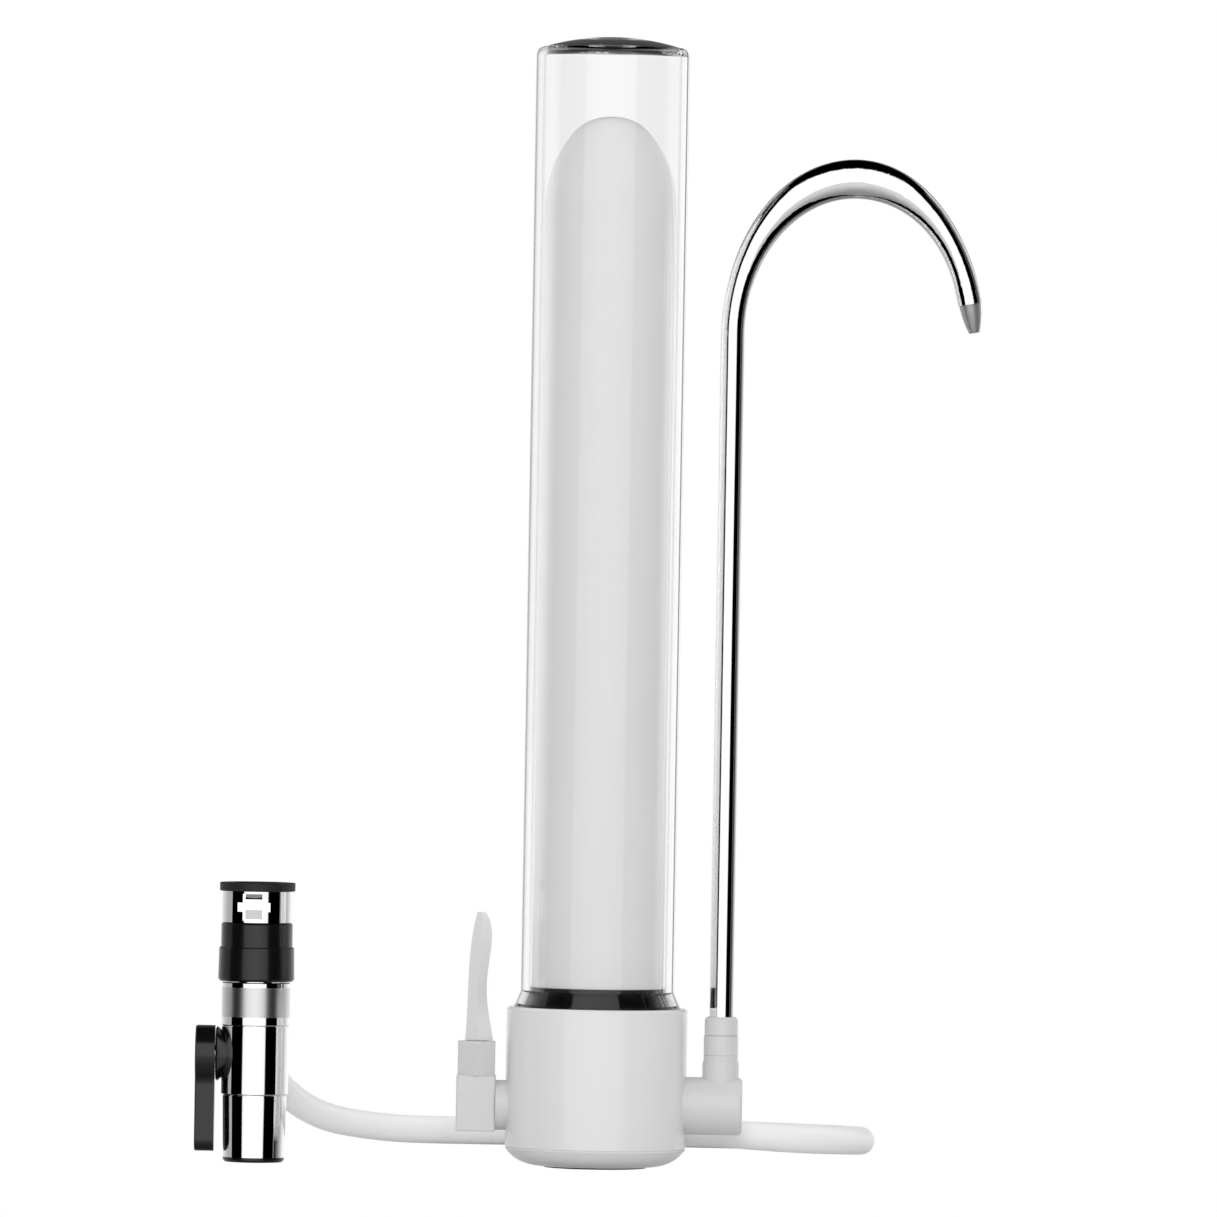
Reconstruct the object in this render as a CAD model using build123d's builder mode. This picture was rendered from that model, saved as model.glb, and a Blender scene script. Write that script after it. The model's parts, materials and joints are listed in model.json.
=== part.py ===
from build123d import *
import math
import os

os.makedirs("parts", exist_ok=True)

# Clearances and small details shared by all pieces
GAP = 0.3            # between pieces that turn or lift past one another
FIT = 0.05           # radial running fit of shafts, plugs and spigots
SEAM = 0.35          # chamfer that shows as a parting line
SOFT = 0.8           # softened corner of moulded pieces
RIGHT_ANGLE = 90
HEX = 6

# Clear housing and the base that holds it
HOUSING_R = 27.15
HOUSING_WALL = 2.6
HOUSING_TOP = 400.0
DOME_RISE = 4.6
CROWN_T = 0.8        # thickness of the crown at its edge
DOME_FILLET = 3.0
CEILING_FILLET = 1.6
FLARE_STEP = 2.15
FLARE_HEIGHT = 5.3
BASE_TOP = 56.7
BASE_RIM = 2.4       # wall around the housing's socket
SOCKET_DEPTH = 18.1
SEAL_HEIGHT = 2.4
CEILING_Z = HOUSING_TOP - DOME_RISE - CROWN_T
FLARE_R = HOUSING_R + FLARE_STEP
SOCKET_R = FLARE_R + GAP
BASE_R = SOCKET_R + BASE_RIM
CHAMBER_FLOOR = BASE_TOP - SOCKET_DEPTH
HOUSING_BOTTOM = CHAMBER_FLOOR + SEAL_HEIGHT
FLARE_LOW = BASE_TOP + GAP
FLARE_HIGH = FLARE_LOW + FLARE_HEIGHT

# Dished foot and its pad
BASE_SEAM_Z = 7.0
FOOT_SWEEP = 13.0    # width of the dished part
FOOT_FLARE = 55      # degrees at which the dish meets the side
FOOT_RISE = 0.5      # the pad stands this far below the foot
PAD_BORDER = 1.0
PAD_T = 1.5
FOOT_FLAT_R = BASE_R - FOOT_SWEEP
PAD_R = FOOT_FLAT_R - PAD_BORDER

# Side ports of the base
PASSAGE_R = 2.6       # side passages
RISER_PASSAGE_R = 3.0  # upright passages
PASSAGE_LENGTH = 6.0
SPIGOT_R = 4.95
SPIGOT_LENGTH = 6.0
SEAL_SECTION = 0.7    # section radius of a spigot seal
SPIGOT_REACH = BASE_R - SPIGOT_LENGTH
SEAL_REACH = BASE_R - SPIGOT_LENGTH / 2
PASSAGE_REACH = SPIGOT_REACH - PASSAGE_LENGTH

# Ceramic candle and its end cap
CANDLE_CLEARANCE = 1.25
CANDLE_DOME = 33.5
CANDLE_WALL = 7.0
HEADROOM = 22.9
CAP_CLEARANCE = 0.9
CAP_RISE = 0.4
CAP_SKIRT_HEIGHT = 9.4
CAP_TAPER = 4.4
CAP_BAND = 1.9
CAP_LIP = 0.7
CAP_PLATE = 4.0
CAP_UPSTAND = 4.5
CAP_UPSTAND_WALL = 2.8
CAP_SHOULDER_R = 9.0
LUG_COUNT = 10
LUG_W = 4.0
LUG_OUT = 0.5
STEM_BORE_R = 6.0
STEM_LENGTH = 12.6
STEM_RING_SECTION = 0.85
STEM_RING_RISE = 3.6
STEM_RING_PITCH = 4.6
CANDLE_R = HOUSING_R - HOUSING_WALL - CANDLE_CLEARANCE
CANDLE_TOP = CEILING_Z - HEADROOM
CAP_R = CANDLE_R + CAP_LIP
CAP_SKIRT_R = FLARE_R - HOUSING_WALL - CAP_CLEARANCE
CAP_SKIRT_HIGH = FLARE_LOW + CAP_RISE
CAP_SKIRT_LOW = CAP_SKIRT_HIGH - CAP_SKIRT_HEIGHT
CAP_NECK_Z = CAP_SKIRT_HIGH + CAP_TAPER
CANDLE_BOTTOM = CAP_NECK_Z + CAP_BAND
STEM_LOW = CHAMBER_FLOOR - STEM_LENGTH
STEM_RING_HEIGHTS = [STEM_LOW + STEM_RING_RISE + STEM_RING_PITCH * ring for ring in range(2)]

# Outlet on the right
SPOUT_R = 4.4
SPOUT_WALL = 1.0
OUTLET_DROP = 3.7
OUTLET_REACH = 12.0
OUTLET_TAIL = 7.8
OUTLET_R = 10.2
OUTLET_END_FILLET = 1.6
RISER_WALL = 2.05
RISER_HEIGHT = 15.7
SPOUT_SEAT = 2.7
SPOUT_RING_SECTION = 0.65
SPOUT_RING_RISE = 2.6
SPOUT_RING_PITCH = 2.8
COLLAR_WALL = 1.7
COLLAR_HEIGHT = 9.3
COLLAR_MOUTH = 2.6
COLLAR_LINE = 2.4
RETAINER_WALL = 0.85
NUT_WALL = 1.5
NUT_HEIGHT = 6.7
NUT_BEVEL = 0.9
OUTLET_X = BASE_R + OUTLET_REACH
OUTLET_Z = STEM_LOW - OUTLET_DROP
OUTLET_END = OUTLET_X + OUTLET_TAIL
RISER_R = SPOUT_R + RISER_WALL
RISER_TOP = OUTLET_Z + RISER_HEIGHT
SPOUT_LOW = OUTLET_Z + SPOUT_SEAT
SPOUT_RING_HEIGHTS = [SPOUT_LOW + SPOUT_RING_RISE + SPOUT_RING_PITCH * ring for ring in range(2)]
COLLAR_R = SPOUT_R + COLLAR_WALL
COLLAR_TOP = RISER_TOP + COLLAR_HEIGHT
COLLAR_SHELF = COLLAR_TOP - COLLAR_MOUTH
COLLAR_LINE_Z = RISER_TOP + COLLAR_LINE
RETAINER_R = SPOUT_R + RETAINER_WALL
NUT_R = SPOUT_R + NUT_WALL
NUT_TOP = COLLAR_TOP + NUT_HEIGHT

# Gooseneck spout
ARCH_Z = 295.0
ARCH_LEFT = 42.8
ARCH_RIGHT = 41.85
ARCH_RISE = 56.1
ARCH_END = 12.9       # angle, in degrees from the right-hand end, where the tube stops
ARCH_STEPS = 14
CREST_THICK = 13.9
SWELL_LEFT = 80.0     # degrees from the crest over which the tube thickens
SWELL_RIGHT = 60.0
NOZZLE_LIP = 0.5      # step down from the tube
NOZZLE_BELLY_R = 3.25
NOZZLE_TIP_R = 1.85
NOZZLE_TIP_FILLET = 0.4
NOZZLE_LENGTH = 10.3
NOZZLE_SPIGOT = 3.0
NOZZLE_FIT = 0.12     # radial, since the spigot is straight and the tube is bent
NOZZLE_BORE_R = 1.1
NOZZLE_R = SPOUT_R - NOZZLE_LIP

# Flush valve on the left
FLUSH_W = 13.9
FLUSH_DROP = 0.8      # its port lies this far below the outlet's
FLUSH_BELOW = 9.2
FLUSH_ABOVE = 10.5
FLUSH_NECK_LENGTH = 3.45
FLUSH_NECK_R = 8.85
FLUSH_PLUG_R = 4.2
FLUSH_FLOOR = 2.7
BONNET_FLATS = 13.2
BONNET_HEIGHT = 12.1
BONNET_BEVEL = 0.9
BONNET_SHANK_R = 5.6
BONNET_SHANK_LENGTH = 5.5
SHAFT_R = 3.0
SHAFT_TAIL = 5.9
SHAFT_RING_RISE = 3.0
SHAFT_RING_SECTION = 0.65
FLUSH_LEVER_HEIGHT = 45.6
LEVER_FOOT_W = 9.9
LEVER_FOOT_LEAN = 0.75
LEVER_FLARE_RISE = 7.4
LEVER_FLARE_W = 8.2
LEVER_WAIST_RISE = 21.9
LEVER_WAIST_W = 6.6
LEVER_HEAD_DROP = 3.4
LEVER_HEAD_W = 5.4
LEVER_HEAD_LEAN = 1.4
LEVER_TIP_W = 3.0
LEVER_TIP_LEAN = 1.0
LEVER_DEPTH = 0.95    # depth of the lever section as a share of its width
LEVER_SIDE = 0.22     # height of the flat at the lever's side as a share of its depth
FLUSH_X = -(BASE_R + FLUSH_NECK_LENGTH + FLUSH_W / 2)
FLUSH_Z = OUTLET_Z - FLUSH_DROP
FLUSH_LOW = FLUSH_Z - FLUSH_BELOW
FLUSH_HIGH = FLUSH_Z + FLUSH_ABOVE
FLUSH_PLUG_LOW = FLUSH_LOW + FLUSH_FLOOR
BONNET_TOP = FLUSH_HIGH + BONNET_HEIGHT
BONNET_SHANK_LOW = FLUSH_HIGH - BONNET_SHANK_LENGTH
SHAFT_TOP = BONNET_TOP + SHAFT_TAIL
SHAFT_RING_Z = FLUSH_HIGH + SHAFT_RING_RISE
FLUSH_LEVER_TOP = BONNET_TOP + FLUSH_LEVER_HEIGHT

# Supply hose, route of its centreline
HOSE_R = 5.0
HOSE_WALL = 1.75
HOSE_BEND_SHARE = 0.45
HOSE_ROUTE = [
    (14.45, 45.0, 13.2),
    (61.8, 45.0, 9.2),
    (95.9, 79.0, 7.2),
    (95.9, 127.0, 5.4),
    (62.0, 161.0, 5.0),
    (10.0, 164.0, 5.0),
    (-50.0, 148.0, 5.5),
    (-79.0, 124.0, 7.0),
    (-104.0, 95.0, 13.0),
    (-120.8, 62.0, 32.0),
    (-120.8, 28.0, 34.5),
]
HOSE_NUT_WALL = 2.0
HOSE_NUT_BEVEL = 0.7
HOSE_THREAD_STEP = 0.3
HOSE_THREAD_DEPTH = 5.0
ELBOW_WALL = 1.5
ELBOW_ARM = 6.5
INLET_NUT_LENGTH = 8.0
PORT_BOSS_WALL = 1.2
PORT_BOSS_LENGTH = 15.0
PORT_SPIGOT_R = 3.9
HOSE_BORE_R = HOSE_R - HOSE_WALL
HOSE_NUT_FLATS = 2 * (HOSE_R + HOSE_NUT_WALL)
HOSE_THREAD_R = HOSE_R + HOSE_THREAD_STEP
ELBOW_R = HOSE_R + ELBOW_WALL
PORT_BOSS_R = HOSE_R + PORT_BOSS_WALL

# Diverter valve, radii from the faucet thread outwards
DIVERTER_X = HOSE_ROUTE[-1][0]
ADAPTER_THREAD_R = 10.5
ADAPTER_WALL = 2.2
ADAPTER_SHOULDER = 3.3
GASKET_OVERHANG = 0.65
GASKET_CLEARANCE = 0.2
NECK_STEP = 0.5       # from the adapter in to the neck
BODY_STEP = 0.3       # from the neck in to the body
BAND_STEP = 0.7
BAND_SUNK = 0.15
UPPER_COLLAR_STEP = 0.45
LOWER_COLLAR_STEP = 1.3
LOWER_COLLAR_TAPER = 0.2
JOINT_STEP = 2.4
NECK_STEM_STEP = 0.9
FLANGE_STEP = 1.6
SLEEVE_STEP = 0.5
SLEEVE_TAPER = 0.4
SLEEVE_WALL = 2.0
AERATOR_RIM_STEP = 0.1
AERATOR_FOOT_STEP = 0.8
AERATOR_STEP = 1.4
AERATOR_WALL = 1.0
NECK_BORE_R = 6.0
COLLAR_BORE_R = 7.0
BODY_BORE_R = 4.0
ADAPTER_R = ADAPTER_THREAD_R + ADAPTER_WALL
ADAPTER_SPIGOT_R = ADAPTER_R - ADAPTER_SHOULDER
GASKET_R = ADAPTER_R + GASKET_OVERHANG
GASKET_BORE_R = ADAPTER_THREAD_R + GASKET_CLEARANCE
NECK_R = ADAPTER_R - NECK_STEP
BODY_R = NECK_R - BODY_STEP
BAND_SEAT_R = NECK_R - BAND_STEP
UPPER_COLLAR_R = NECK_R + UPPER_COLLAR_STEP
LOWER_COLLAR_R = NECK_R + LOWER_COLLAR_STEP
LOWER_COLLAR_TOP_R = LOWER_COLLAR_R - LOWER_COLLAR_TAPER
JOINT_R = BODY_R - JOINT_STEP
NECK_STEM_R = JOINT_R - NECK_STEM_STEP
FLANGE_R = NECK_STEM_R + FLANGE_STEP
OUTLET_SLEEVE_TOP_R = BODY_R - SLEEVE_STEP
OUTLET_SLEEVE_R = OUTLET_SLEEVE_TOP_R - SLEEVE_TAPER
SLEEVE_BORE_R = JOINT_R - SLEEVE_WALL
AERATOR_RIM_R = OUTLET_SLEEVE_R - AERATOR_RIM_STEP
AERATOR_FOOT_R = AERATOR_RIM_R - AERATOR_FOOT_STEP
AERATOR_R = OUTLET_SLEEVE_R - AERATOR_STEP

# Diverter valve, heights from the aerator upwards
AERATOR_RIM_T = 1.7
AERATOR_DEPTH = 6.3
AERATOR_PLATE_Z = 2.4
AERATOR_PLATE_T = 1.2
AERATOR_HOLE_R = 0.9
AERATOR_BORDER = 1.5
AERATOR_RING_COUNT = 2
SLEEVE_LENGTH = 22.1
LOWER_JOINT_LENGTH = 6.2
BODY_LENGTH = 24.4
SKIRT_RISE = 4.55     # the lever's skirt starts this far above the body's lower end
SKIRT_HEADROOM = 0.35
PLUG_R = 5.05
PLUG_HEADROOM = 0.35
BAND_RISE = 3.1
BAND_HEIGHT = 10.5
NECK_LIP = 1.8
NECK_STEM_LENGTH = 6.7
FLANGE_T = 2.2
WASHER_T = 1.5
COLLAR_OVERLAP = 3.5
UPPER_COLLAR_LENGTH = 8.8
ADAPTER_SPIGOT_LENGTH = 4.8
ADAPTER_LENGTH = 11.0
ADAPTER_THREAD_LENGTH = 10.0
GASKET_T = 3.0
AERATOR_TOP = AERATOR_RIM_T + AERATOR_DEPTH
SLEEVE_TOP = AERATOR_RIM_T + SLEEVE_LENGTH
LOWER_JOINT_TOP = SLEEVE_TOP + LOWER_JOINT_LENGTH
BODY_TOP = SLEEVE_TOP + BODY_LENGTH
SKIRT_R = (BODY_LENGTH - SKIRT_RISE - SKIRT_HEADROOM) / 2
PLUG_RISE = SKIRT_RISE + SKIRT_R
PLUG_Z = SLEEVE_TOP + PLUG_RISE
UPPER_JOINT_LENGTH = BODY_LENGTH - PLUG_RISE - PLUG_R - PLUG_HEADROOM
UPPER_JOINT_LOW = BODY_TOP - UPPER_JOINT_LENGTH
BAND_LOW = BODY_TOP + BAND_RISE
BAND_HIGH = BAND_LOW + BAND_HEIGHT
NECK_TOP = BAND_HIGH + NECK_LIP
FLANGE_LOW = NECK_TOP + NECK_STEM_LENGTH
FLANGE_HIGH = FLANGE_LOW + FLANGE_T
LOWER_COLLAR_TOP = FLANGE_HIGH + COLLAR_OVERLAP
UPPER_COLLAR_TOP = LOWER_COLLAR_TOP + UPPER_COLLAR_LENGTH
ADAPTER_SPIGOT_LOW = UPPER_COLLAR_TOP - ADAPTER_SPIGOT_LENGTH
ADAPTER_TOP = UPPER_COLLAR_TOP + ADAPTER_LENGTH
ADAPTER_THREAD_LOW = ADAPTER_TOP - ADAPTER_THREAD_LENGTH
GASKET_TOP = ADAPTER_TOP + GASKET_T

# Latch pockets of the faucet adapter
LATCH_TURN = -4.7     # degrees about the valve's axis
LATCH_W = 7.8
LATCH_DEPTH = 1.6
LATCH_LIP = 0.8
EAR_SPAN = 11.6
EAR_H = 3.2
TAB_W = 6.0
TAB_PROUD = 1.25
TAB_TOE = 0.25
TAB_STEP = 0.3
TAB_BEVEL_H = 1.9
TAB_FACE_H = 3.7

# Lever of the diverter and its plug
PLUG_NEAR = -6.0
PLUG_FAR = 7.0
PLUG_PORT_R = 3.2     # straight way through the plug
PLUG_SIDE_R = 2.6     # its side branch
SKIRT_ROOT_R = 6.6
SKIRT_BEVEL = 0.6
LEVER_STANDOFF = 2.2
LEVER_T = 6.9
LEVER_HEAD_STEP = 0.25  # from the skirt out to the lever's head
LEVER_BLADE_W = 10.0
LEVER_BLADE_LOW = 3.6
LEVER_CORNER = 4.0
LEVER_EDGE = 0.4
LEVER_SHAFT_R = 2.9
LEVER_SHAFT_LENGTH = 4.5
LEVER_RING_DEPTH = 2.3
SCREW_HEAD_R = 2.8
SCREW_HEAD_T = 1.4
SCREW_SINK = 1.8
SCREW_R = 1.4
SCREW_LENGTH = 6.0
CROSS_L = 3.4
CROSS_W = 0.8
LEVER_HEAD_R = SKIRT_R + LEVER_HEAD_STEP
LEVER_NEAR = BODY_R + LEVER_STANDOFF
LEVER_FAR = LEVER_NEAR + LEVER_T
LEVER_SHAFT_END = LEVER_NEAR + LEVER_SHAFT_LENGTH
LEVER_RING_REACH = BODY_R - LEVER_RING_DEPTH


def along(origin, direction):
    """A plane whose y axis leaves the origin in the given direction, for turned outlines."""
    across = Plane(origin=origin, z_dir=direction).x_dir
    return Plane(origin=origin, x_dir=across, z_dir=across.cross(Vector(direction)))


def turn(points, plane, mode=Mode.ADD):
    """Revolve a closed (radius, distance) outline about the y axis of the plane."""
    with BuildSketch(plane) as outline:
        with BuildLine():
            Polyline(*points, close=True)
        make_face()
    revolve(outline.sketch, axis=Axis(plane.origin, plane.y_dir), mode=mode)


def sleeve(plane, inner, outer, low, high, mode=Mode.ADD):
    """A plain turned ring, or a disc where the inner radius is nothing."""
    turn([(inner, low), (outer, low), (outer, high), (inner, high)], plane, mode)


def bore(plane, radius, low, high):
    """A round hole about the y axis of the plane."""
    sleeve(plane, 0, radius, low, high, Mode.SUBTRACT)


def seal(plane, inner, section, distance, mode=Mode.ADD):
    """A round-section seal whose hole has the given radius."""
    with BuildSketch(plane) as circle:
        with Locations((inner + section, distance)):
            Circle(section)
    revolve(circle.sketch, axis=Axis(plane.origin, plane.y_dir), mode=mode)


def gland(plane, inner, outer, section, distance):
    """A square groove that holds a seal."""
    sleeve(plane, inner, outer, distance - section, distance + section, Mode.SUBTRACT)


def hexagon(plane, flats, low, high, bevel):
    """A hexagonal prism along the y axis of the plane with the corners of its far end turned off."""
    inside = flats / 2
    corner = inside / math.cos(math.pi / HEX)
    beyond = corner + GAP
    drop = bevel * (beyond - inside) / (corner - inside)
    base = Plane(origin=plane.origin + plane.y_dir * low, x_dir=plane.x_dir, z_dir=plane.y_dir)
    with BuildSketch(base) as outline:
        RegularPolygon(inside, HEX, major_radius=False, rotation=RIGHT_ANGLE)
    extrude(outline.sketch, amount=high - low)
    blank = [(0, low), (beyond, low), (beyond, high - drop), (inside, high), (0, high)]
    turn(blank, plane, Mode.INTERSECT)


AXIS_BASE = along((0, 0, 0), (0, 0, 1))
AXIS_FLUSH = along((FLUSH_X, 0, 0), (0, 0, 1))
AXIS_RISER = along((OUTLET_X, 0, 0), (0, 0, 1))
AXIS_DIVERTER = along((DIVERTER_X, 0, 0), (0, 0, 1))
SIDE_FLUSH = along((0, 0, FLUSH_Z), (-1, 0, 0))
SIDE_OUTLET = along((0, 0, OUTLET_Z), (1, 0, 0))

# Directions and places that follow from the hose route
hose_points = [Vector(*point) for point in HOSE_ROUTE]
inlet_heading = (hose_points[1] - hose_points[0]).normalized()
inlet_centre = hose_points[0] - inlet_heading * (ELBOW_ARM + INLET_NUT_LENGTH)
port_heading = (hose_points[-2] - hose_points[-1]).normalized()
port_reach = hose_points[-1].Y / port_heading.Y
port_centre = hose_points[-1] - port_heading * port_reach
SIDE_INLET = along((inlet_centre.X, 0, inlet_centre.Z), (0, 1, 0))
ARM_INLET = along(inlet_centre, inlet_heading)
SIDE_PORT = along(port_centre, port_heading)
SIDE_LEVER = along((DIVERTER_X, 0, PLUG_Z), (-1, 0, 0))


def side_socket(plane, height):
    """A spigot socket, its cross passage and the upright passage to the chamber above it."""
    bore(plane, SPIGOT_R + FIT, SPIGOT_REACH, BASE_R)
    bore(plane, PASSAGE_R, PASSAGE_REACH, BASE_R)
    foot = plane.origin + plane.y_dir * PASSAGE_REACH
    bore(along(foot, (0, 0, 1)), RISER_PASSAGE_R, 0, CHAMBER_FLOOR - height)


def spigot(plane):
    """The plain end with a seal groove that plugs into a socket of the base."""
    sleeve(plane, 0, SPIGOT_R, SPIGOT_REACH + GAP, BASE_R + GAP)
    gland(plane, SPIGOT_R + FIT - 2 * SEAL_SECTION, SPIGOT_R + FIT, SEAL_SECTION, SEAL_REACH)


def spigot_seal(plane):
    """The seal of one spigot."""
    seal(plane, SPIGOT_R + FIT - 2 * SEAL_SECTION, SEAL_SECTION, SEAL_REACH)


# Filter base
with BuildPart() as anti_slip_pad:
    sleeve(AXIS_BASE, 0, PAD_R, 0, PAD_T)
anti_slip_pad.part.label = "anti_slip_pad"
export_step(anti_slip_pad.part, "parts/anti_slip_pad.step")

flare = math.radians(FOOT_FLARE)
with BuildPart() as base_foot:
    with BuildSketch(Plane.XZ) as foot_outline:
        with BuildLine():
            Polyline((0, BASE_SEAM_Z), (0, FOOT_RISE), (FOOT_FLAT_R, FOOT_RISE))
            Spline(
                (FOOT_FLAT_R, FOOT_RISE),
                (BASE_R, BASE_SEAM_Z - SEAM),
                tangents=((1, 0), (math.cos(flare), math.sin(flare))),
            )
            Polyline((BASE_R, BASE_SEAM_Z - SEAM), (BASE_R - SEAM, BASE_SEAM_Z), (0, BASE_SEAM_Z))
        make_face()
    revolve(axis=Axis.Z)
    bore(AXIS_BASE, PAD_R, 0, PAD_T)
base_foot.part.label = "base_foot"
export_step(base_foot.part, "parts/base_foot.step")

with BuildPart() as base_body:
    turn(
        [
            (0, BASE_SEAM_Z),
            (BASE_R - SEAM, BASE_SEAM_Z),
            (BASE_R, BASE_SEAM_Z + SEAM),
            (BASE_R, BASE_TOP - SOFT),
            (BASE_R - SOFT, BASE_TOP),
            (SOCKET_R, BASE_TOP),
            (SOCKET_R, CHAMBER_FLOOR),
            (0, CHAMBER_FLOOR),
        ],
        AXIS_BASE,
    )
    fillet(base_body.edges().filter_by(GeomType.CIRCLE).group_by(Axis.Z)[-1].sort_by(SortBy.RADIUS)[-1],
           radius=SOFT)
    bore(AXIS_BASE, STEM_BORE_R, STEM_LOW - GAP, CHAMBER_FLOOR)
    bore(AXIS_BASE, RISER_PASSAGE_R, OUTLET_Z - RISER_PASSAGE_R, STEM_LOW)
    bore(SIDE_OUTLET, PASSAGE_R, 0, BASE_R)
    bore(SIDE_OUTLET, SPIGOT_R + FIT, SPIGOT_REACH, BASE_R)
    side_socket(SIDE_FLUSH, FLUSH_Z)
    side_socket(SIDE_INLET, inlet_centre.Z)
base_body.part.label = "base_body"
export_step(base_body.part, "parts/base_body.step")

with BuildPart() as housing_seal:
    seal_section = (HOUSING_BOTTOM - CHAMBER_FLOOR) / 2
    seal(AXIS_BASE, FLARE_R - HOUSING_WALL / 2 - seal_section, seal_section,
         CHAMBER_FLOOR + seal_section)
housing_seal.part.label = "housing_seal"
export_step(housing_seal.part, "parts/housing_seal.step")

# Clear housing
with BuildPart() as clear_housing:
    dome_edge = HOUSING_TOP - DOME_RISE
    dome_mid = HOUSING_TOP - DOME_RISE / 4
    with BuildSketch(Plane.XZ) as housing_wall:
        with BuildLine():
            ThreePointArc((0, HOUSING_TOP), (HOUSING_R / 2, dome_mid), (HOUSING_R, dome_edge))
            Polyline(
                (HOUSING_R, dome_edge),
                (HOUSING_R, FLARE_HIGH),
                (FLARE_R, FLARE_LOW),
                (FLARE_R, HOUSING_BOTTOM),
                (FLARE_R - HOUSING_WALL, HOUSING_BOTTOM),
                (FLARE_R - HOUSING_WALL, FLARE_LOW),
                (HOUSING_R - HOUSING_WALL, FLARE_HIGH),
                (HOUSING_R - HOUSING_WALL, CEILING_Z),
                (0, CEILING_Z),
                (0, HOUSING_TOP),
            )
        make_face()
        shoulder = housing_wall.vertices().group_by(Axis.X)[-2].sort_by(Axis.Y)[-1]
        fillet(shoulder, radius=DOME_FILLET)
        ceiling_corner = housing_wall.vertices().group_by(Axis.X)[1].sort_by(Axis.Y)[-1]
        fillet(ceiling_corner, radius=CEILING_FILLET)
    revolve(axis=Axis.Z)
clear_housing.part.label = "clear_housing"
export_step(clear_housing.part, "parts/clear_housing.step")


# Ceramic candle and its end cap
candle_spring = CANDLE_TOP - CANDLE_DOME


def dome_curve(radius, rise):
    """A half-elliptical outline from the candle's straight side up to its axis, in the open line."""
    lean = math.sqrt(1 / 2)
    Spline(
        (radius, candle_spring),
        (radius * lean, candle_spring + rise * lean),
        (0, candle_spring + rise),
        tangents=((0, 1), (-1, 0)),
    )


with BuildPart() as filter_candle:
    inner_r = CANDLE_R - CANDLE_WALL
    inner_rise = CANDLE_DOME - CANDLE_WALL
    with BuildSketch(Plane.XZ) as candle_wall:
        with BuildLine():
            dome_curve(CANDLE_R, CANDLE_DOME)
            dome_curve(inner_r, inner_rise)
            Line((0, candle_spring + inner_rise), (0, CANDLE_TOP))
            Polyline(
                (CANDLE_R, candle_spring),
                (CANDLE_R, CANDLE_BOTTOM),
                (inner_r, CANDLE_BOTTOM),
                (inner_r, candle_spring),
            )
        make_face()
    revolve(axis=Axis.Z)
filter_candle.part.label = "filter_candle"
export_step(filter_candle.part, "parts/filter_candle.step")

with BuildPart() as candle_end_cap:
    upstand_r = CANDLE_R - CANDLE_WALL - FIT
    turn(
        [
            (0, STEM_LOW),
            (STEM_BORE_R - FIT, STEM_LOW),
            (STEM_BORE_R - FIT, CHAMBER_FLOOR),
            (CAP_SHOULDER_R, CHAMBER_FLOOR),
            (CAP_SHOULDER_R, CAP_SKIRT_LOW),
            (CAP_SKIRT_R - SOFT, CAP_SKIRT_LOW),
            (CAP_SKIRT_R, CAP_SKIRT_LOW + SOFT),
            (CAP_SKIRT_R, CAP_SKIRT_HIGH),
            (CAP_R, CAP_NECK_Z),
            (CAP_R, CANDLE_BOTTOM),
            (upstand_r, CANDLE_BOTTOM),
            (upstand_r, CANDLE_BOTTOM + CAP_UPSTAND),
            (upstand_r - CAP_UPSTAND_WALL, CANDLE_BOTTOM + CAP_UPSTAND),
            (upstand_r - CAP_UPSTAND_WALL, CAP_SKIRT_LOW + CAP_PLATE),
            (0, CAP_SKIRT_LOW + CAP_PLATE),
        ],
        AXIS_BASE,
    )
    bore(AXIS_BASE, RISER_PASSAGE_R, STEM_LOW, CAP_SKIRT_LOW + CAP_PLATE)
    for height in STEM_RING_HEIGHTS:
        gland(AXIS_BASE, STEM_BORE_R - 2 * STEM_RING_SECTION, STEM_BORE_R, STEM_RING_SECTION, height)
    with BuildSketch(Plane.XY.offset(CAP_SKIRT_LOW + SOFT)) as lugs:
        with PolarLocations(CAP_SKIRT_R - LUG_W / 2 + LUG_OUT, LUG_COUNT):
            Rectangle(LUG_W, LUG_W)
        Circle(CAP_SKIRT_R - LUG_OUT, mode=Mode.SUBTRACT)
    extrude(amount=CAP_SKIRT_HIGH - CAP_SKIRT_LOW - SOFT - GAP)
candle_end_cap.part.label = "candle_end_cap"
export_step(candle_end_cap.part, "parts/candle_end_cap.step")

with BuildPart() as stem_o_rings:
    for height in STEM_RING_HEIGHTS:
        seal(AXIS_BASE, STEM_BORE_R - 2 * STEM_RING_SECTION, STEM_RING_SECTION, height)
stem_o_rings.part.label = "stem_o_rings"
export_step(stem_o_rings.part, "parts/stem_o_rings.step")

with BuildPart() as spigot_o_rings:
    for side in (SIDE_FLUSH, SIDE_OUTLET, SIDE_INLET):
        spigot_seal(side)
spigot_o_rings.part.label = "spigot_o_rings"
export_step(spigot_o_rings.part, "parts/spigot_o_rings.step")

# Flush valve
flush_face = -FLUSH_X - FLUSH_W / 2
with BuildPart() as flush_neck_ring:
    sleeve(SIDE_FLUSH, SPIGOT_R + FIT, FLUSH_NECK_R, SPIGOT_REACH, flush_face)
    sleeve(AXIS_BASE, 0, BASE_R, 0, BASE_TOP, Mode.SUBTRACT)
flush_neck_ring.part.label = "flush_neck_ring"
export_step(flush_neck_ring.part, "parts/flush_neck_ring.step")

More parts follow.
